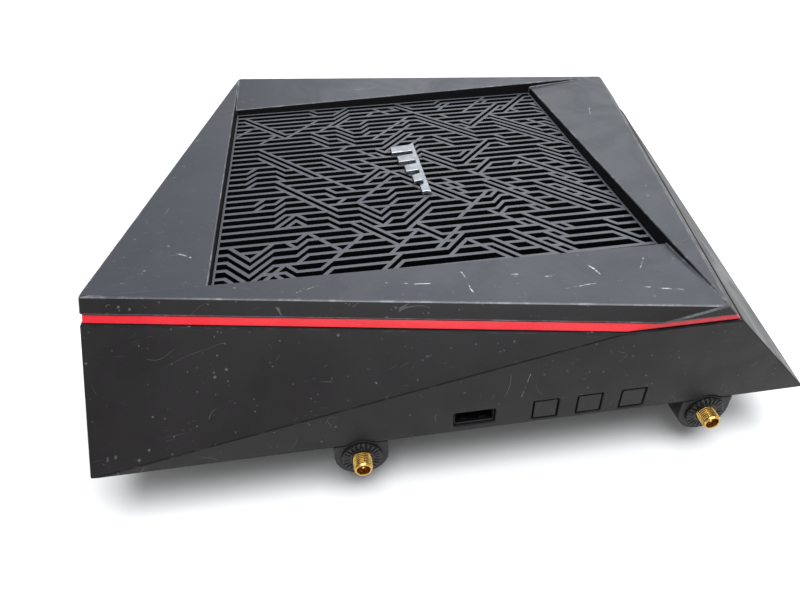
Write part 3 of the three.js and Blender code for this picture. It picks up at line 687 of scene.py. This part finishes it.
class Labyrinth:
    """Bars on a lattice: level rows that jog to other rows in bundles of parallel strokes."""

    def __init__(self, columns, rows, seed):
        self.columns, self.rows = columns, rows
        self.random = random.Random(seed)
        self.links = {((i, j), (i + 1, j)) for i in range(columns) for j in range(rows + 1)}
        self.links |= {((i, j), (i, j + 1)) for i in (0, columns) for j in range(rows)}
        self.strokes = {}

    def jog(self, column, row, length, count, way):
        """Adds a bundle of strokes if all its cells are free, and opens the rows between them."""
        cells, drawn, opened = [], [], []
        for k in range(count):
            for r in range(length):
                cell_row = row - k + r
                left = column + r if way > 0 else column - r - 1
                cells.append((left, cell_row))
                start = (column + way * r, cell_row)
                end = (column + way * (r + 1), cell_row + 1)
                drawn.append(tuple(sorted((start, end))))
            if k + 1 < count:
                for r in range(length):
                    y = row - k + r
                    x = column + way * r
                    opened.append(tuple(sorted(((x, y), (x + way, y)))))
        inside = all(0 <= x < self.columns and 0 <= y < self.rows for x, y in cells)
        if not inside or any(cell in self.strokes for cell in cells):
            return
        if any(y in (0, self.rows) for (x, y), _ in opened):
            return
        if any(link not in self.links for link in opened):
            return
        self.strokes.update(dict.fromkeys(cells, way))
        self.links |= set(drawn)
        self.links -= set(opened)

    def fill(self, share):
        tries = 0
        wanted = share * self.columns * self.rows
        while len(self.strokes) < wanted and tries < MOST_TRIES:
            tries += 1
            column = self.random.randint(1, self.columns - 1)
            row = self.random.randint(0, self.rows - 1)
            length = self.random.choice(STROKE_LENGTHS)
            count = self.random.choice(STROKE_COUNTS)
            self.jog(column, row, length, count, self.random.choice((1, -1)))

    def neighbours(self):
        near = {}
        for a, b in self.links:
            near.setdefault(a, set()).add(b)
            near.setdefault(b, set()).add(a)
        return near

    def open_some(self, share):
        """Takes out a few links, so that some cells are larger."""
        level = sorted(
            (a, b) for a, b in self.links if a[1] == b[1] and 0 < a[1] < self.rows
        )
        for a, b in self.random.sample(level, int(share * len(level))):
            near = self.neighbours()
            if len(near[a]) > 2 and len(near[b]) > 2:
                self.links.discard((a, b))

    def prune(self):
        """Takes away bars that end in the air and bars that hang on nothing."""
        near = self.neighbours()
        loose = [point for point, ends in near.items() if len(ends) == 1]
        while loose:
            point = loose.pop()
            if len(near.get(point, ())) != 1:
                continue
            other = near[point].pop()
            near[other].discard(point)
            if len(near[other]) == 1:
                loose.append(other)
        held, front = {(0, 0)}, [(0, 0)]
        while front:
            for other in near[front.pop()]:
                if other not in held:
                    held.add(other)
                    front.append(other)
        self.links = {(a, b) for a, ends in near.items() for b in ends if a < b and a in held}

    def openings(self, place):
        """The loops round the spaces between bars, each a list of points, turning left."""
        near = self.neighbours()
        points = {p: place(*p) for p in near}
        order = {
            p: sorted(ends, key=lambda q: math.atan2(*(points[q] - points[p]).yx))
            for p, ends in near.items()
        }
        seen, loops = set(), []
        for a in sorted(near):
            for b in order[a]:
                if (a, b) in seen:
                    continue
                loop, here, ahead = [], a, b
                while (here, ahead) not in seen:
                    seen.add((here, ahead))
                    loop.append(points[here])
                    ways = order[ahead]
                    here, ahead = ahead, ways[ways.index(here) - 1]
                area = sum(p.x * q.y - q.x * p.y for p, q in zip(loop, loop[1:] + loop[:1])) / 2
                if area > 0:
                    loops.append(loop)
        return loops


def straightened(loop):
    """The loop without the points that lie on a straight run."""
    kept = []
    for i, point in enumerate(loop):
        before = (point - loop[i - 1]).normalized()
        after = (loop[(i + 1) % len(loop)] - point).normalized()
        if abs(before.cross(after)) > 1e-4:
            kept.append(point)
    return kept


def shrunk(loop, distance):
    """The loop moved inward on every edge, or None where nothing is left of it."""
    count = len(loop)
    moved = []
    for i in range(count):
        before = (loop[i] - loop[i - 1]).normalized()
        after = (loop[(i + 1) % count] - loop[i]).normalized()
        turn = before.cross(after)
        left = Vector((-before.y, before.x))
        slide = distance * (before.dot(after) - 1) / turn
        moved.append(loop[i] + distance * left + slide * before)
    for i in range(count):
        if (moved[(i + 1) % count] - moved[i]).dot(loop[(i + 1) % count] - loop[i]) < 0.02:
            return None
    return moved


def within(point, loop):
    """Whether the point lies inside the loop."""
    crossings = 0
    for a, b in zip(loop, loop[1:] + loop[:1]):
        if (a.y > point.y) != (b.y > point.y):
            crossings += a.x + (point.y - a.y) * (b.x - a.x) / (b.y - a.y) > point.x
    return crossings % 2 == 1


def make_grille():
    """The grille: a square plate with the labyrinth's openings cut through it, on a hidden rim."""
    half = OPENING_HALF - GAP
    labyrinth = Labyrinth(GRILLE_COLUMNS, GRILLE_ROWS, GRILLE_SEED)
    labyrinth.fill(STROKE_SHARE)
    labyrinth.open_some(OPENED_SHARE)
    labyrinth.prune()

    def place(i, j):
        return Vector((2 * half * i / GRILLE_COLUMNS - half, half - 2 * half * j / GRILLE_ROWS))

    square = [Vector((x * half, y * half)) for x, y in ((-1, -1), (1, -1), (1, 1), (-1, 1))]
    holes = []
    for loop in labyrinth.openings(place):
        loop = straightened(loop)
        wide = shrunk(loop, BAR_WIDTH / 2 - BAR_ROUNDING)
        middle = shrunk(loop, BAR_WIDTH / 2 - 0.3 * BAR_ROUNDING)
        narrow = shrunk(loop, BAR_WIDTH / 2)
        if wide and middle and narrow:
            holes.append((wide, middle, narrow))

    flat, owners, faces = list(square), [None] * 4, []
    for index, (wide, _, _) in enumerate(holes):
        faces.append(list(range(len(flat), len(flat) + len(wide))))
        flat += wide
        owners += [index] * len(wide)
    edges = [(i, (i + 1) % 4) for i in range(4)]
    triangles, origins = delaunay_2d_cdt(flat, edges, faces, 0, 1e-5, True)[2:4]
    low = GRILLE_TOP - GRILLE_THICK
    heights = (GRILLE_TOP, GRILLE_TOP - 0.3 * BAR_ROUNDING, GRILLE_TOP - BAR_ROUNDING, low)
    bm = bmesh.new()

    def corner(at, height):
        return bm.verts.new(Vector((at.x, at.y, height)) * MM)

    wall_of = [(p, p, p, p) for p in square]
    for wide, middle, narrow in holes:
        wall_of += list(zip(wide, middle, narrow, narrow))
    columns = [[corner(at, height) for at, height in zip(row, heights)] for row in wall_of]
    for triangle in triangles:
        ends = [origins[i][0] for i in triangle]
        owner = owners[ends[0]]
        centre = (flat[ends[0]] + flat[ends[1]] + flat[ends[2]]) / 3
        one_hole = owner is not None and all(owners[i] == owner for i in ends)
        if one_hole and within(centre, holes[owner][0]):
            continue
        bm.faces.new([columns[i][0] for i in ends]).material_index = 0
        bm.faces.new([columns[i][3] for i in reversed(ends)]).material_index = 1
    # Below their rounded lips the slot walls, like the underside and the rim, take the near-black painted
    # shade.
    for loop in [[0, 1, 2, 3], *faces]:
        for a, b in zip(loop, loop[1:] + loop[:1]):
            for k in range(3):
                quad = (columns[a][k], columns[b][k], columns[b][k + 1], columns[a][k + 1])
                bm.faces.new(quad).material_index = 1 if k == 2 else 0
    rim = [
        [Vector((x * h, y * h, z)) * MM for x, y in ((-1, -1), (1, -1), (1, 1), (-1, 1))]
        for h, z in (
            (GRILLE_WINDOW_HALF, GRILLE_RIM[0]),
            (GRILLE_RIM_HALF, GRILLE_RIM[0]),
            (GRILLE_RIM_HALF, GRILLE_RIM[1]),
            (GRILLE_WINDOW_HALF, GRILLE_RIM[1]),
        )
    ]
    add_rings(bm, rim, 1)
    mesh = mesh_of(bm, "grille_bars")
    piece("grille_bars", mesh, HOUSING, "grille", "grille", "grille_wall_painted_shade", replaces=("top_grille",))


# ---------------------------------------------------------------- antenna sockets

SOCKET_HEIGHT = 16.4
SOCKET_AT = (-35.8, HALF - 35.8)
SOCKET_SEGMENTS = 40
SOCKET_REACH = 6.1              # how far the tip stands out from the side's face
BORE_END = SOCKET_REACH - 4.3
THREAD_RADIUS = 3.175
THREAD_PITCH = 0.7056
THREAD_DEPTH = 0.38
THREAD_END = 5.75
ROWS_PER_TURN = 8               # rings of points for each turn of the thread

# Radius and reach beyond the side's face, from the tail's end to where the thread starts.
SOCKET_TAIL = (
    (0.3, -8.1), (1.9, -8.1), (2.0, -8.0), (2.0, -5.3), (3.9, -5.3),
    (4.0, -5.2), (4.0, -3.3), (2.9, -3.3), (2.9, -0.1),
)
# The same over the tip, down the bore and up the centre pin.
SOCKET_TIP = (
    (2.82, 5.98), (2.74, SOCKET_REACH), (2.42, SOCKET_REACH), (2.3, 5.98),
    (2.3, BORE_END + 0.1), (2.2, BORE_END), (0.62, BORE_END), (0.6, BORE_END + 0.1),
    (0.6, 4.7), (0.45, 5.0), (0.15, 5.1),
)

RING_BORE = 3.5
RING_TEETH = 24
TOOTH_SHAPE = (0, 0.15, 0.85, 1, 1, 1, 0.85, 0.15)
# Radius, lowest height and rise of a tooth, from the ring's bore outward.
RING_CIRCLES = (
    (RING_BORE, 1.2, 0), (4.15, 1.2, 0), (4.4, 0.75, 0.65), (6.35, 0.7, 0.7), (6.7, 0.6, 0.55)
)
RIM_RADIUS = 6.62
RIM_RISE = 0.26
RIM_TOP = 0.5

LEAD_START = 8.4                # depth of the lead's start behind the side's face
LEAD_END = 22.4                 # height at which it meets the board
LEAD_RADIUS = 0.88
SLEEVE_RADIUS = 0.899


def socket_mesh():
    """A gold coaxial socket: flange and tail behind the wall, cut thread, bore and centre pin."""
    rings = [[place] * SOCKET_SEGMENTS for place in SOCKET_TAIL]
    rows = int(THREAD_END / THREAD_PITCH * ROWS_PER_TURN)
    for row in range(rows + 1):
        reach = THREAD_END * row / rows
        fade = min(1, row / 4, (rows - row) / 5)
        ring = []
        for k in range(SOCKET_SEGMENTS):
            phase = (reach / THREAD_PITCH - k / SOCKET_SEGMENTS) % 1
            crest = max(0.0, 1 - abs(2 * phase - 1) * 1.25)
            cut = fade * (1 - crest) + (1 - fade) * 0.55
            ring.append((THREAD_RADIUS - THREAD_DEPTH * cut, reach))
        rings.append(ring)
    rings += [[place] * SOCKET_SEGMENTS for place in SOCKET_TIP]
    bm = bmesh.new()
    add_rings(bm, turned_skin(rings), closed=False)
    # Faces deep in the thread's grooves take the darker gold, a painted shade.
    root = THREAD_RADIUS - 0.62 * THREAD_DEPTH
    for face in bm.faces:
        middle = face.calc_center_median() / MM
        if 0.3 < middle.z < THREAD_END - 0.3 and 2.5 < middle.xy.length < root:
            face.material_index = 1
    mesh = mesh_of(bm, "socket", smooth=True)
    mesh.set_sharp_from_angle(angle=math.radians(40))
    return mesh


def ring_mesh():
    """The toothed ring that the antenna's hinge clicks against."""
    teeth = TOOTH_SHAPE * RING_TEETH
    rings = [[(radius, low + rise * t) for t in teeth] for radius, low, rise in RING_CIRCLES]
    rings += [[(RIM_RADIUS + RIM_RISE * t, height) for t in teeth] for height in (RIM_TOP, GAP)]
    rings.append([(RING_BORE, GAP)] * len(teeth))
    bm = bmesh.new()
    add_rings(bm, turned_skin(rings))
    mesh = mesh_of(bm, "detent_ring", smooth=True)
    mesh.set_sharp_from_angle(angle=math.radians(35))
    return mesh


def lead_mesh(u):
    """The jacket of the lead from the socket's tail up to the board, with its crimped sleeve."""
    route = [
        (u, v - HALF, z)
        for v, z in (
            (LEAD_START, SOCKET_HEIGHT),
            (LEAD_START + 4, SOCKET_HEIGHT),
            (LEAD_START + 10, 17.8),
            (LEAD_START + 14, LEAD_END - 2.6),
            (LEAD_START + 14.6, LEAD_END - 0.3),
        )
    ]
    sleeve = [(u, LEAD_START + along - HALF, SOCKET_HEIGHT) for along in (0, 0.4, 3.4, 3.8)]
    bm = bmesh.new()
    add_tube(bm, curve_points(route), LEAD_RADIUS)
    add_tube(bm, sleeve, SLEEVE_RADIUS, 20, 1)
    return mesh_of(bm, "lead", smooth=True)


def make_sockets():
    socket, ring = socket_mesh(), ring_mesh()
    leads = [lead_mesh(u) for u in SOCKET_AT]
    for quarter, side in enumerate(SIDE_NAMES):
        for index, u in enumerate(SOCKET_AT):
            place = f"{side}_{index + 1}"
            out = on_side(quarter, u, SOCKET_HEIGHT) @ OUTWARD
            turn = quarter_turn(quarter)
            for name, node, mesh, slot, materials, at in (
                ("socket_", "antenna_socket_", socket, "brass", ("brass", "brass_root_painted_shade"), out),
                ("ring_", "detent_ring_", ring, "ring", ("ring",), out),
                ("lead_", "antenna_lead_", leads[index], "lead", ("lead", "shield"), turn),
            ):
                named = (node + place,)
                piece(name + place, mesh, HOUSING, slot, *materials, replaces=named, place=at)


# ---------------------------------------------------------------- ports

JACKS_AT = (-14, 8, 22, 36, 50)     # the WAN jack, then the four LAN jacks
CONTACT_PITCH = 1.02
USB_SIZE = (13.5, 5.7)
USB_FRONT = 0.8
USB_BACK = 15.3
USB_HEIGHT = 28.2
USB_SHEET = 0.4


def make_usb(node, quarter, u, blades):
    """A dark metal shell with rolled lips and sprung tabs, a tongue and its gold contacts."""
    half_w, half_h = USB_SIZE[0] / 2, USB_SIZE[1] / 2
    bm = bmesh.new()

    def outline(grow, v):
        w, h, r = half_w + grow, half_h + grow, 0.8 + grow
        points = []
        corners = ((w - r, h - r, 0), (r - w, h - r, 90), (r - w, r - h, 180), (w - r, r - h, 270))
        for cx, cz, start in corners:
            for k in range(5):
                t = math.radians(start + 22.5 * k)
                points.append(Vector((cx + r * math.cos(t), v, cz + r * math.sin(t))) * MM)
        return points

    inner = -USB_SHEET
    back = USB_BACK - 2
    profile = [(inner + 0.12, USB_FRONT + 0.1), (-0.02, USB_FRONT), (0, USB_FRONT + 0.15), (0, USB_BACK)]
    profile_in = [(inner, back), (inner, USB_FRONT + 0.5)]
    skin = [outline(g, v) for g, v in profile_in + profile]
    add_rings(bm, skin, 0, closed=False)
    tongue_z = 0.9
    add_box(bm, (-5.55, 3.0, tongue_z - 0.9), (5.55, back + 0.5, tongue_z + 0.9), 1)
    for k in range(4):
        x = (k - 1.5) * (2.0 if k in (1, 2) else 2.33)
        add_box(bm, (x - 0.5, 3.3, tongue_z - 0.98), (x + 0.5, back, tongue_z - 0.85), 2)
    for k in range(blades):
        x = (k - (blades - 1) / 2) * 2
        add_box(bm, (x - 0.3, 3.1, tongue_z - 1.02), (x + 0.3, 4.3, tongue_z - 0.85), 2)
    for x in (-3.2, 3.2):
        for z, way in ((half_h + inner, -1), (-half_h - inner, 1)):
            low, high = sorted((z, z + way * 0.35))
            add_box(bm, (x - 1.1, 2.2, low), (x + 1.1, 7.0, high), 0)
    mesh = mesh_of(bm, node + "_shell")
    mesh.transform(on_side(quarter, u, USB_HEIGHT))
    materials = ("port_shell", "tongue", "contact")
    made = piece(node + "_shell", mesh, HOUSING, "port_shell", *materials, replaces=(node,))
    rounded(made, 0.08, 2)


def make_jack_contacts():
    """The eight sprung wires in each network jack."""
    bm = bmesh.new()
    for u in JACKS_AT:
        for k in range(8):
            x = u + (k - 3.5) * CONTACT_PITCH
            rise = ((1.4, 26.6), (2.6, 26.75), (9.0, 29.6), (12.2, 30.2))
            wire = [(x, v - HALF, z) for v, z in rise]
            add_tube(bm, curve_points(wire, 4), 0.19, 8)
    mesh = mesh_of(bm, "jack_contacts", smooth=True)
    mesh.transform(quarter_turn(REAR))
    piece("jack_contacts", mesh, HOUSING, "brass", "contact")


def make_dc_jack():
    """The power inlet: a round sleeve with its bore and centre pin, on a square body."""
    u, z, front = 103, 30, 0.3
    bm = bmesh.new()
    body_front = 2.6
    add_box(bm, (-4.7, body_front, -5.4), (4.7, 14, 5.4), 0)
    sleeve = [
        (3.9, -body_front - 0.4), (3.9, -front - 0.3), (3.6, -front), (3.35, -front),
        (3.15, -front - 0.25), (3.15, -front - 9.2), (1.35, -front - 9.2),
    ]
    pin = [
        (1.35, -front - 9.2), (1.2, -front - 9.0), (1.2, -front - 1.5),
        (0.9, -front - 1.0), (0.2, -front - 1.0),
    ]
    add_turned(bm, sleeve, 48, OUTWARD, 0)
    add_turned(bm, pin, 32, OUTWARD, 1)
    mesh = mesh_of(bm, "dc_inlet", smooth=True)
    mesh.set_sharp_from_angle(angle=math.radians(35))
    mesh.transform(on_side(REAR, u, z))
    piece("dc_inlet", mesh, HOUSING, "jack", "jack", "shield", replaces=("dc_jack",))


# ---------------------------------------------------------------- feet and screws

FOOT_AT = (62, -84)
SCREW_AT = (86, -86)
# Radius and height, from the middle of the sole round the rim to the tip of the plug.
FOOT_PROFILE = (
    (0.4, 0.35), (5.2, 0.35), (5.6, 0), (7.2, 0), (7.7, 0.15), (8, 0.6), (8, 1.45),
    (7.85, 1.7), (2.2, 1.7), (2.2, 4.1), (2.5, 4.3), (2.4, 4.9), (1.6, 5.2), (0.2, 5.2),
)
# The same from the rim of a screw's head to the start of its thread.
HEAD_PROFILE = ((2.95, 6.15), (3.15, 6.5), (3.2, 6.9), (3.2, 7.7), (1.3, 7.7), (1.3, 11.5))


def foot_mesh():
    bm = bmesh.new()
    add_turned(bm, FOOT_PROFILE, 64)
    mesh = mesh_of(bm, "foot", smooth=True)
    mesh.set_sharp_from_angle(angle=math.radians(50))
    return mesh


def screw_mesh():
    """A pan-head screw seen from below, with a cross recess and a cut thread."""
    bm = bmesh.new()
    segments = 48
    head_low = 5.7
    rings = []
    for step in range(13):
        radius = 0.05 + 2.55 * step / 12
        ring = []
        for k in range(segments):
            t = 2 * math.pi * k / segments
            x, y = abs(radius * math.cos(t)), abs(radius * math.sin(t))
            across, along = min(x, y), max(x, y)
            slot = max(0, min(1, (0.42 - across) / 0.14)) * max(0, min(1, (1.75 - along) / 0.35))
            crown = 0.25 * (radius / 2.6) ** 2
            ring.append((radius, head_low + crown + 0.9 * slot))
        rings.append(ring)
    rings += [[place] * segments for place in HEAD_PROFILE]
    rows = 88
    for row in range(rows + 1):
        height = 11.6 + 11.2 * row / rows
        ring = []
        for k in range(segments):
            phase = (height / 1.1 - k / segments) % 1
            ring.append((1.05 + 0.25 * max(0, 1 - 2.4 * abs(phase - 0.5)), height))
        rings.append(ring)
    rings.append([(0.15, 24.0)] * segments)
    add_rings(bm, turned_skin(rings), closed=False)
    mesh = mesh_of(bm, "screw", smooth=True)
    mesh.set_sharp_from_angle(angle=math.radians(40))
    return mesh


def make_feet_and_screws():
    foot, screw = foot_mesh(), screw_mesh()
    for quarter, side in enumerate(SIDE_NAMES):
        for name, node, mesh, slot, material, at in (
            ("rubber_foot_", "foot_", foot, "foot_rubber", "rubber", FOOT_AT),
            ("screw_", "housing_screw_", screw, "screw", "screw", SCREW_AT),
        ):
            place = quarter_turn(quarter) @ Matrix.Translation(Vector((*at, 0)) * MM)
            named = (node + side,)
            piece(name + side, mesh, HOUSING, slot, material, replaces=named, place=place)


# ---------------------------------------------------------------- board

BOARD_TOP = 24.3
BOARD_HALF = 115
BOARD_EDGE = BOARD_HALF - 13
BOARD_SEED = 5
KEEP_OFF = (
    "heat_sink", "usb3_port", "usb2_port", "status_lens", "lan_port_block", "wan_port", "dc_jack"
)
KEEP_OFF_MARGIN = 2.0
SCREW_ROOM = 8
PLACE_TRIES = 40
# Width, depth and height of each part, and how many of it.
BOARD_PARTS = (
    ((14, 14, 1.2), 4), ((9, 12, 1.1), 6), ((6, 5, 1.4), 14), ((4, 2, 1.0), 60), ((2, 1.2, 0.8), 160)
)
CHIP_HEIGHT = 1.05              # anything taller is a chip with legs
LEG_PITCH = 1.4
CAN_COUNT = 10
CAN_PROFILE = (
    (0.3, 0.4), (2.9, 0.4), (3.15, 0.8), (3.15, 7.1), (2.9, 7.4), (2.5, 7.4), (2.4, 7.2), (0.3, 7.2)
)


def is_free(footprint, taken):
    """Whether a [low x, low y, high x, high y] footprint touches none of those taken."""
    low_x, low_y, high_x, high_y = footprint
    return all(high_x < t[0] or low_x > t[2] or high_y < t[1] or low_y > t[3] for t in taken)


def make_board_parts():
    """Chips, capacitors and small parts on the board, clear of everything else that stands on it."""
    rng = random.Random(BOARD_SEED)
    sunk = BOARD_TOP - 0.1
    taken = []
    for node in KEEP_OFF:
        low, high = (1000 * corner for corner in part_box(node))
        taken.append((
            low.x - KEEP_OFF_MARGIN, low.y - KEEP_OFF_MARGIN,
            high.x + KEEP_OFF_MARGIN, high.y + KEEP_OFF_MARGIN,
        ))
    for quarter in range(4):
        x, y = Matrix.Rotation(quarter * math.pi / 2, 2) @ Vector(SCREW_AT)
        taken.append((x - SCREW_ROOM, y - SCREW_ROOM, x + SCREW_ROOM, y + SCREW_ROOM))
    bm = bmesh.new()
    for width, depth, height in [size for size, count in BOARD_PARTS for _ in range(count)]:
        if rng.random() < 0.5:
            width, depth = depth, width
        for _ in range(PLACE_TRIES):
            x, y = rng.uniform(-BOARD_EDGE, BOARD_EDGE - width), rng.uniform(-BOARD_EDGE, BOARD_EDGE - depth)
            footprint = (x - 0.8, y - 0.8, x + width + 0.8, y + depth + 0.8)
            if is_free(footprint, taken):
                taken.append(footprint)
                chip = height > CHIP_HEIGHT
                top = (x + width, y + depth, BOARD_TOP + height)
                add_box(bm, (x, y, sunk), top, 0 if chip else 1)
                for k in range(int(width // LEG_PITCH) if chip else 0):
                    at = x + 0.8 + LEG_PITCH * k
                    for low_y, high_y in ((y - 0.7, y + 0.2), (y + depth - 0.2, y + depth + 0.7)):
                        add_box(bm, (at, low_y, sunk), (at + 0.5, high_y, BOARD_TOP + 0.5), 1)
                break
    for _ in range(CAN_COUNT):
        for _ in range(PLACE_TRIES):
            x, y = rng.uniform(-BOARD_EDGE, BOARD_EDGE), rng.uniform(-BOARD_EDGE, BOARD_EDGE)
            footprint = (x - 4, y - 4, x + 4, y + 4)
            if is_free(footprint, taken):
                taken.append(footprint)
                at = Matrix.Translation(Vector((x, y, BOARD_TOP)) * MM)
                add_turned(bm, CAN_PROFILE, 28, at, 2)
                add_box(bm, (x - 3.3, y - 3.3, sunk), (x + 3.3, y + 3.3, BOARD_TOP + 0.6), 0)
                break
    mesh = mesh_of(bm, "board_parts")
    rounded(piece("board_parts", mesh, HOUSING, "board", "chip", "shield", "screw"), 0.12, 2)


# ---------------------------------------------------------------- badge


def make_badge():
    """The badge's CAD shape, let down on to the grille's bars and rounded."""
    bm = bmesh.new()
    bm.from_mesh(frame["nodes"]["badge"].data)
    bmesh.ops.remove_doubles(bm, verts=bm.verts, dist=MERGE * MM)
    one_face_per_flat(bm)
    low = min(v.co.z for v in bm.verts)
    for v in bm.verts:
        if v.co.z < low + 0.1 * MM:
            v.co.z = GRILLE_TOP * MM
    mesh = mesh_of(bm, "badge_finished", smooth=True)
    rounded(piece("badge_finished", mesh, HOUSING, "badge", "badge", replaces=("badge",)), 0.35)


# ---------------------------------------------------------------- all pieces


def cover_material(face):
    """Which material a face of the top cover takes: only the plates on top are painted; the opening's walls
    and the undersides take a near-black painted shade.
    """
    middle = face.calc_center_median() / MM
    inward = max(abs(middle.x), abs(middle.y)) < OPENING_HALF + 0.1
    if inward or face.normal.z < -0.3:
        return 2
    return 0 if face.normal.z > 0.9 else 3


def make_pieces():
    refined("top_cover", "cover", 0.45, "cover", "cover_edge", "recess", "skirt", painted=cover_material)
    refined("side_housing", "skirt", 0.35, "skirt", "skirt_edge")
    refined("red_trim", "trim", 0.25, "trim")
    refined("bottom_cover", "base", 0.3, "base")
    make_grille()
    make_badge()
    make_sockets()
    make_usb("usb3_port", NEAR, 2.6, 5)
    make_usb("usb2_port", REAR, 68, 0)
    make_jack_contacts()
    make_dc_jack()
    for name in ("lan_port_block", "wan_port"):
        refined(name, "jack", 0.18, "jack")
    for name in ("led", "wifi", "wps", "power", "reset"):
        refined(name + "_button", "button", 0.22, "button")
        refined(name + "_switch", "switch", 0.2, "switch")
    refined("main_board", "board", 0.15, "board")
    refined("heat_sink", "heat_sink", 0.25, "heat_sink")
    for side in SIDE_NAMES:
        refined("socket_rail_" + side, "base", 0.3, "base")
    refined("status_lens", "lens", 0.15, "lens")
    make_board_parts()
    make_feet_and_screws()


def make_floor():
    size = 4.0
    bm = bmesh.new()
    corners = [bm.verts.new((x * size, y * size, 0)) for x, y in ((-1, -1), (1, -1), (1, 1), (-1, 1))]
    bm.faces.new(corners)
    r = Recipe("pale_floor")
    cloud = r.noise(3, 3)
    tone = r.blend_colour(cloud, colour(218, 218, 218), colour(223, 223, 223))
    r.finish(Base_Color=tone, Roughness=0.75)
    mesh = mesh_of(bm, "floor")
    mesh.materials.append(r.material)
    floor = bpy.data.objects.new("floor", mesh)
    bpy.context.scene.collection.objects.link(floor)


make_camera()
make_light()
make_pieces()
make_floor()
